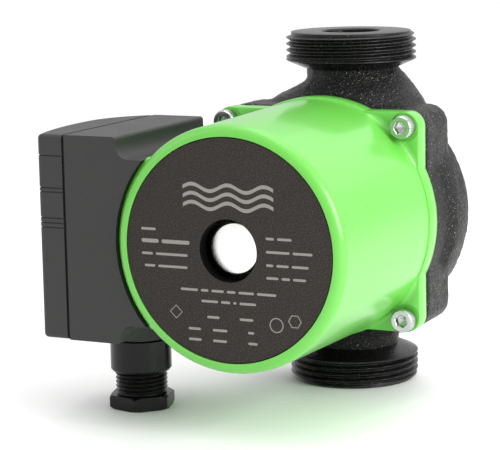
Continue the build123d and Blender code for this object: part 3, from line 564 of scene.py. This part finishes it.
casting.data.update()
bm = bmesh.new()
bm.from_mesh(casting.data)
bm.normal_update()
for vert in bm.verts:
    spot = vert.co / MM
    fine = noise.noise(spot * FINE_PER_MM)
    broad = noise.noise(spot * BROAD_PER_MM)
    vert.co -= vert.normal * MM * (SKIN_IN + FINE_DEEP * fine + BROAD_DEEP * broad)
bm.to_mesh(casting.data)
bm.free()

cut(casting,
    cylinder("bore_low", PORT_BORE_R, -1, LOWER_BORE_LENGTH, WORLD),
    cylinder("bore_top", PORT_BORE_R, PORT_TOP - UPPER_BORE_LENGTH, PORT_TOP + 1, WORLD),
    lathe("chamber", CHAMBER, MOTOR))
finish_piece(casting, "cast_iron_black", stands_for=("pump_casing",))

# ------------------------------------------------------------------ motor shell
RIM_R = 3.6
RIM_STEPS = 12
BLEND_R = 2.4
BLEND_STEPS = 7
EDGE_BACK_R = 0.6
EDGE_FRONT_R = 0.8
# how far the middle of a rounded edge lies inside its corner, as a share of the edge's radius
EDGE_MID = 0.3
LEDGE = 0.85
LEAST_BLEND = 0.02
CONE_START = 37.0
LAND_BACK = 39.0
LAND_FRONT = 101.0
LAND_RUN = 0.15
LAND_STEPS = 10
WALL_FRONT = 99.6
WALL_CORNER = 2.0
PLATE_GAP = 0.3
SEAT_EDGE = 0.12
POCKET_R = 5.2
POCKET_DEEP = 0.25
POCKET_FRONT = 48.0
SCREW_HOLE_R = 2.7
SCREW_HOLE_BACK = 24.0
# the part of the front wall that shows through the plate's hole gets a near-black material as painted shade
HOLE_SHADE_R = PLATE_R - 2
HOLE_SHADE_BACK = WALL_FRONT - 3


def body_radius(forward):
    """Radius of the slightly conical housing."""
    along = (forward - FLANGE_FRONT) / (HOUSING_FRONT - FLANGE_FRONT)
    return BODY_BACK_R + (BODY_FRONT_R - BODY_BACK_R) * along


def shell_profile(angle):
    """Housing section: flange, blend, cone or land, rounded rim, plate seat and the inside."""
    flange = max(square_reach(angle, FLANGE_HALF, FLANGE_CORNER_R), FLANGE_CIRCLE_R)
    on_land = abs(math.degrees(angle) - 180) < LAND_HALF_DEG
    back_mid = EDGE_MID * EDGE_BACK_R
    front_mid = EDGE_MID * EDGE_FRONT_R
    loop = [(BORE_R, FLANGE_BACK), (flange - EDGE_BACK_R, FLANGE_BACK),
            (flange - back_mid, FLANGE_BACK + back_mid), (flange, FLANGE_BACK + EDGE_BACK_R),
            (flange, FLANGE_FRONT - EDGE_FRONT_R), (flange - front_mid, FLANGE_FRONT - front_mid),
            (flange - EDGE_FRONT_R, FLANGE_FRONT)]
    body = body_radius(FLANGE_FRONT + BLEND_R)
    foot = max(body + LEAST_BLEND, min(flange - LEDGE, body + BLEND_R))
    for k in range(BLEND_STEPS + 1):
        turn = k / BLEND_STEPS * math.pi / 2
        loop.append((body + (foot - body) * (1 - math.sin(turn)),
                     FLANGE_FRONT + BLEND_R * (1 - math.cos(turn))))
    for forward in (CONE_START, LAND_BACK - LAND_RUN):
        loop.append((body_radius(forward), forward))
    for k in range(LAND_STEPS + 1):
        forward = LAND_BACK + LAND_RUN + (LAND_FRONT - LAND_BACK - 2 * LAND_RUN) * k / LAND_STEPS
        loop.append((LAND_R if on_land else body_radius(forward), forward))
    rim_centre = HOUSING_FRONT - RIM_R
    rim_out = body_radius(rim_centre)
    for k in range(RIM_STEPS + 1):
        turn = k / RIM_STEPS * math.pi / 2
        loop.append((rim_out - RIM_R * (1 - math.cos(turn)), rim_centre + RIM_R * math.sin(turn)))
    seat_r = PLATE_R + PLATE_GAP
    loop += [(seat_r + SEAT_EDGE, HOUSING_FRONT), (seat_r, HOUSING_FRONT - SEAT_EDGE),
             (seat_r, PLATE_BACK), (HOLE_R, PLATE_BACK), (HOLE_R, WALL_FRONT),
             (BORE_R - WALL_CORNER, WALL_FRONT), (BORE_R, WALL_FRONT - WALL_CORNER)]
    return loop


SCREW_CORNERS = [(side_x, side_y) for side_x in (-1, 1) for side_y in (-1, 1)]


def screw_place(side_x, side_y):
    """Local frame of the housing screw in one corner of the flange."""
    return shifted(MOTOR, side_x * SCREW_OFFSET, side_y * SCREW_OFFSET)


pocket_floor = FLANGE_FRONT - POCKET_DEEP
pocket = [(AXIS_R, SCREW_HOLE_BACK), (SCREW_HOLE_R, SCREW_HOLE_BACK), (SCREW_HOLE_R, pocket_floor),
          (POCKET_R, pocket_floor), (POCKET_R, POCKET_FRONT), (AXIS_R, POCKET_FRONT)]
shell = turned("motor_shell", shell_profile, MOTOR, 720)
cut(shell, *[lathe("pocket", pocket, screw_place(*corner), 48) for corner in SCREW_CORNERS])
finish_piece(shell, "green_paint", stands_for=("motor_housing",))
# faces seen through the plate's hole take the near-black painted shade
shell.data.materials.append(HOLE_SHADE)
for polygon in shell.data.polygons:
    spot = polygon.center / MM
    if math.hypot(spot.x, spot.z - AXIS_Z) < HOLE_SHADE_R and -spot.y > HOLE_SHADE_BACK:
        polygon.material_index = 1

# ------------------------------------------------------------------ front plate and its marks
HOLE_EDGE = 0.1
PLATE_EDGE = 0.18
PLATE_EDGE_MID = 0.05
plate_loop = [(HOLE_R, PLATE_BACK), (HOLE_R, PLATE_FRONT - HOLE_EDGE), (HOLE_R + HOLE_EDGE, PLATE_FRONT),
              (PLATE_R - PLATE_EDGE, PLATE_FRONT),
              (PLATE_R - PLATE_EDGE_MID, PLATE_FRONT - PLATE_EDGE_MID),
              (PLATE_R, PLATE_FRONT - PLATE_EDGE), (PLATE_R, PLATE_BACK)]
plate = lathe("front_plate", plate_loop, MOTOR, 240)
finish_piece(plate, "nameplate_foil", stands_for=("nameplate",))

MARK_BACK = PLATE_FRONT - 0.02
MARK_FRONT = PLATE_FRONT + 0.03
BAR_HIGH = 0.85
BOLD_HIGH = 1.3
BAR_GAP = 1.1
FRAME_WIDE = 0.35
WAVE_LOW_X = -16
WAVE_HIGH_X = 17
WAVE_SWING = 1.1
WAVE_WIDE = 1.25
WAVE_TURNS = 2.5
WAVE_STEPS = 72
WAVE_HEIGHTS = (20.8, 17.8, 14.8)

# left end, height on the plate, thickness and lengths of the bars that stand for each line of print
PRINT_LINES = (
    (-32, 6, BAR_HIGH, (5.5,)),
    (-32, 2, BOLD_HIGH, (6.5, 10.5)),
    (-32, -2.3, BAR_HIGH, (4.2, 12.0)),
    (-31, -6.4, BAR_HIGH, (4.0, 11.0)),
    (14, 5, BAR_HIGH, (3.0, 5.2)),
    (14, 0.6, BAR_HIGH, (8.5, 7.0)),
    (14, -3.8, BAR_HIGH, (2.6, 4.4, 6.0)),
    (14, -8.0, BAR_HIGH, (4.4, 3.0, 4.6)),
    (-17.6, -13.6, BAR_HIGH, (6.4, 2.8, 4.6, 3.2, 5.6, 7.0)),
    (-10, -17.2, BAR_HIGH, (6.2, 3.4, 1.2, 6.0)),
    (-8, -22.5, BAR_HIGH, (4.6,)),
    (4, -22.5, BAR_HIGH, (5.0,)),
    (-15, -26.8, BAR_HIGH, (4.6,)),
    (-6, -26.8, BAR_HIGH, (5.4,)),
    (7, -26.8, BAR_HIGH, (2.2,)),
    (-15, -30.4, BAR_HIGH, (4.8,)),
    (-6, -30.4, BAR_HIGH, (5.2,)),
    (7, -30.4, BAR_HIGH, (3.4,)),
)
# middle, radius and number of sides of the plain frames; 48 sides make a ring
PRINT_FRAMES = ((-19.5, -21.5, 2.4, 4), (17.4, -23.5, 2.5, 48), (24.0, -21.8, 2.4, 6))


def bar(x, y, length, height):
    """Raised printed bar with round ends, starting at x with its middle at y."""
    half = height / 2
    right = [(x + length - half + px, y + py) for px, py in arc(half, -90, 90, 6)]
    left = [(x + half + px, y + py) for px, py in arc(half, 90, 270, 6)]
    return prism("bar", right + left, MARK_BACK, MARK_FRONT, MOTOR)


def print_line(x, y, height, lengths):
    """A row of bars that stands for a line of print."""
    row = []
    for length in lengths:
        row.append(bar(x, y, length, height))
        x += length + BAR_GAP
    return row


def wave(y):
    """Plain wavy ribbon."""
    top, under = [], []
    for k in range(WAVE_STEPS + 1):
        x = WAVE_LOW_X + (WAVE_HIGH_X - WAVE_LOW_X) * k / WAVE_STEPS
        middle = y + WAVE_SWING * math.sin(TAU * WAVE_TURNS * k / WAVE_STEPS)
        top.append((x, middle + WAVE_WIDE / 2))
        under.append((x, middle - WAVE_WIDE / 2))
    return prism("wave", top + under[::-1], MARK_BACK, MARK_FRONT, MOTOR)


def plain_frame(x, y, radius, sides):
    """Plain frame with the given number of sides."""
    inner = radius - FRAME_WIDE
    loop = [(inner, MARK_BACK), (radius, MARK_BACK), (radius, MARK_FRONT), (inner, MARK_FRONT)]
    return lathe("frame", loop, shifted(MOTOR, x, y), sides)


marks = [wave(y) for y in WAVE_HEIGHTS]
for line in PRINT_LINES:
    marks += print_line(*line)
marks += [plain_frame(*values) for values in PRINT_FRAMES]
printed = join("printed_marks", marks)
finish_piece(printed, "nameplate_foil", INK)

# ------------------------------------------------------------------ rotor can, seen through the hole
inner_r = CAN_R - CAN_WALL
inner_front = CAN_FRONT - CAN_WALL
inner_nose_r = NOSE_R - CAN_WALL
inner_end = NOSE_END - CAN_WALL
can_out = rounded([(AXIS_R, NOSE_END, 0), (NOSE_R, NOSE_END, 0.9), (NOSE_R, CAN_FRONT, 0.5),
                   (CAN_R, CAN_FRONT, 1.2), (CAN_R, CAN_FLANGE_FRONT, 0.3),
                   (CAN_FLANGE_R, CAN_FLANGE_FRONT, 0)], 8)
can_in = rounded([(CAN_FLANGE_R, CAN_FLANGE_BACK, 0), (inner_r, CAN_FLANGE_BACK, 0.3),
                  (inner_r, inner_front, 1.0), (inner_nose_r, inner_front, 0.4),
                  (inner_nose_r, inner_end, 0.6), (AXIS_R, inner_end, 0)], 8)
can = lathe("can_shell", can_out + can_in, MOTOR, 144)
finish_piece(can, "stainless", stands_for=("rotor_can",))

# ------------------------------------------------------------------ housing screws
HEAD_R = 4.25
HEX_HALF = 2.0
HEX_EDGE = 0.2
HEX_DEEP = 2.4
HEX_POINT = 3.2
SHANK_R = 2.45
SHANK_END = 12.0
SHANK_CHAMFER = 0.5
KNURLS = 40
KNURL_DEEP = 0.195


def hexagon_reach(angle, half_flats, turn=0.0):
    """Distance from a hexagon's centre to its edge."""
    part = (angle - turn) % (TAU / 6) - TAU / 12
    return half_flats / math.cos(part)


def screw_profile(angle):
    """Socket-head screw: shank, knurled head, chamfered top and hexagon socket."""
    knurl = HEAD_R - KNURL_DEEP * (0.5 + 0.5 * math.cos(KNURLS * angle))
    socket = hexagon_reach(angle, HEX_HALF)
    return [(AXIS_R, SHANK_END), (SHANK_R - SHANK_CHAMFER, SHANK_END), (SHANK_R, SHANK_END + SHANK_CHAMFER),
            (SHANK_R, FLANGE_FRONT), (HEAD_R - 0.25, FLANGE_FRONT), (knurl, FLANGE_FRONT + 0.3),
            (knurl, SCREW_FRONT - 0.8), (HEAD_R - 0.2, SCREW_FRONT - 0.45),
            (HEAD_R - 0.55, SCREW_FRONT), (socket + HEX_EDGE, SCREW_FRONT),
            (socket, SCREW_FRONT - HEX_EDGE), (socket, SCREW_FRONT - HEX_DEEP),
            (AXIS_R, SCREW_FRONT - HEX_POINT)]


screws = []
for side_x, side_y in SCREW_CORNERS:
    # each screw has stopped at its own angle
    stop = Matrix.Rotation(0.4 * side_x + 0.7 * side_y, 4, "Z")
    screws.append(turned("screw", screw_profile, screw_place(side_x, side_y) @ stop, 240))
heads = join("socket_screws", screws)
finish_piece(heads, "zinc_steel", stands_for=("housing_screws",))

# ------------------------------------------------------------------ gland nut
NUT_HEX_HALF = 10.5
NUT_HEX_TOP = 4.9
NUT_HEX_ROWS = 16
NUT_TURN = math.radians(-14.5)
NUT_BEVEL_R = 11.1
NUT_BEVEL_RUN = 1.5
NUT_CHAMFER = 0.7
NUT_THREAD_R = 9.25
NUT_THREAD_START = NUT_HEX_TOP + 0.05
NUT_THREAD_ROWS = 84
NUT_PITCH = 1.5
NUT_DEPTH = 0.85
NUT_LEAD = 0.8
NUT_LEAST_LEAD = 0.2


def nut_profile(angle):
    """Gland nut: cable hole, bevelled hexagon and the threaded neck."""
    flats = hexagon_reach(angle, NUT_HEX_HALF, NUT_TURN)
    loop = [(CABLE_R, NUT_TOP), (CABLE_R, NUT_CHAMFER), (CABLE_R + NUT_CHAMFER, 0.0)]
    for k in range(NUT_HEX_ROWS + 1):
        height = NUT_HEX_TOP * k / NUT_HEX_ROWS
        bevelled = NUT_BEVEL_R + NUT_BEVEL_RUN * min(height, NUT_HEX_TOP - height)
        loop.append((min(flats, bevelled), height))
    for k in range(NUT_THREAD_ROWS + 1):
        height = NUT_THREAD_START + (NUT_TOP - NUT_THREAD_START) * k / NUT_THREAD_ROWS
        lead = min(1.0, (height - NUT_HEX_TOP) / NUT_LEAD, (NUT_TOP - height) / NUT_LEAD + NUT_LEAST_LEAD)
        ridge = lead * (1 - helix(height, angle, NUT_PITCH))
        loop.append((NUT_THREAD_R - NUT_DEPTH * (1 - ridge), height))
    return loop


nut = turned("gland_nut_shape", nut_profile, GLAND, 192)
finish_piece(nut, "dark_plastic", body="gland_nut", stands_for=("gland_nut",))

# ------------------------------------------------------------------ gland grommet, squeezed by the washer
grommet_low, grommet_high = node_box("gland_grommet")
GROMMET_TOP = grommet_high.z
GROMMET_LENGTH = grommet_high.z - grommet_low.z
GROMMET_R = grommet_high.x - GLAND_X
GROMMET_ROUND = 0.3
RIB_COUNT = 4
RIB_DEPTH = 0.25
RIB_STEPS = 48

grommet_loop = [(CABLE_R, grommet_low.z + GROMMET_ROUND), (CABLE_R + GROMMET_ROUND, grommet_low.z),
                (GROMMET_R - GROMMET_ROUND, grommet_low.z)]
for k in range(RIB_STEPS + 1):
    along = GROMMET_ROUND + (GROMMET_LENGTH - 2 * GROMMET_ROUND) * k / RIB_STEPS
    groove = 0.5 - 0.5 * math.cos(TAU * RIB_COUNT * k / RIB_STEPS)
    grommet_loop.append((GROMMET_R - RIB_DEPTH * groove, grommet_low.z + along))
grommet_loop += [(GROMMET_R - GROMMET_ROUND, GROMMET_TOP), (CABLE_R + GROMMET_ROUND, GROMMET_TOP),
                 (CABLE_R, GROMMET_TOP - GROMMET_ROUND)]
grommet = lathe("grommet_rubber", grommet_loop, GLAND, 96)
finish_piece(grommet, "epdm", stands_for=("gland_grommet",))
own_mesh(grommet)

# ------------------------------------------------------------------ floor, light and camera
FLOOR_HALF = 8000.0
FLOOR_DEPTH = 20.0
FLOOR_GAP = 0.05
WORLD_STRENGTH = 0.80
TARGET = Vector((0, -45, 62))

corners = [(-FLOOR_HALF, -FLOOR_HALF), (FLOOR_HALF, -FLOOR_HALF), (FLOOR_HALF, FLOOR_HALF),
           (-FLOOR_HALF, FLOOR_HALF)]
floor = prism("floor", corners, -FLOOR_DEPTH, -FLOOR_GAP, WORLD)
floor.data.materials.append(FLOOR_WHITE)

scene = bpy.context.scene
scene.view_settings.view_transform = "Standard"
world = bpy.data.worlds.new("studio")
world.use_nodes = True
backdrop = world.node_tree.nodes["Background"]
backdrop.inputs["Color"].default_value = (1.0, 1.0, 1.0, 1.0)
backdrop.inputs["Strength"].default_value = WORLD_STRENGTH
scene.world = world


def area_light(name, place, size, power):
    """Square soft light at a millimetre place, aimed at the pump."""
    light = bpy.data.lights.new(name, "AREA")
    light.size = size * MM
    light.energy = power
    lamp = bpy.data.objects.new(name, light)
    lamp.location = Vector(place) * MM
    aim = (TARGET - Vector(place)).normalized()
    lamp.rotation_euler = aim.to_track_quat("-Z", "Y").to_euler()
    scene.collection.objects.link(lamp)


area_light("key_right", (800, -230, 380), 520, 6.6)
area_light("fill_left", (-620, -420, 480), 500, 0.7)
area_light("top", (40, 40, 760), 500, 1.3)

# an even overhead light keeps the whole floor pale
overhead = bpy.data.lights.new("overhead", "SUN")
overhead.energy = 1.0
overhead.angle = math.radians(110)
overhead_lamp = bpy.data.objects.new("overhead", overhead)
overhead_lamp.rotation_euler = (math.radians(-14), math.radians(16), 0)
scene.collection.objects.link(overhead_lamp)

AZIMUTH = math.radians(26.04)
ELEVATION = math.radians(9.31)
ROLL = math.radians(-1.12)
DISTANCE = 767.84
# the camera's place beside and above the line through the middle of the pump
ASIDE = -38.49
ABOVE = -6.75
SENSOR_WIDE = 36
FOCAL_LENGTH = 148.2
FAR_END_M = 50

back = Vector((math.sin(AZIMUTH) * math.cos(ELEVATION), -math.cos(AZIMUTH) * math.cos(ELEVATION),
               math.sin(ELEVATION)))
right = Vector((math.cos(AZIMUTH), math.sin(AZIMUTH), 0))
up = back.cross(right)
right_rolled = right * math.cos(ROLL) + up * math.sin(ROLL)
up_rolled = up * math.cos(ROLL) - right * math.sin(ROLL)
stand = right * ASIDE + up * ABOVE + back * DISTANCE + Vector((0, 0, AXIS_Z))
turn = Matrix((right_rolled, up_rolled, back)).transposed()
lens = bpy.data.cameras.new("camera")
lens.sensor_width = SENSOR_WIDE
lens.lens = FOCAL_LENGTH
lens.clip_end = FAR_END_M
camera = bpy.data.objects.new("camera", lens)
camera.matrix_world = Matrix.Translation(stand * MM) @ turn.to_4x4()
scene.collection.objects.link(camera)
scene.camera = camera
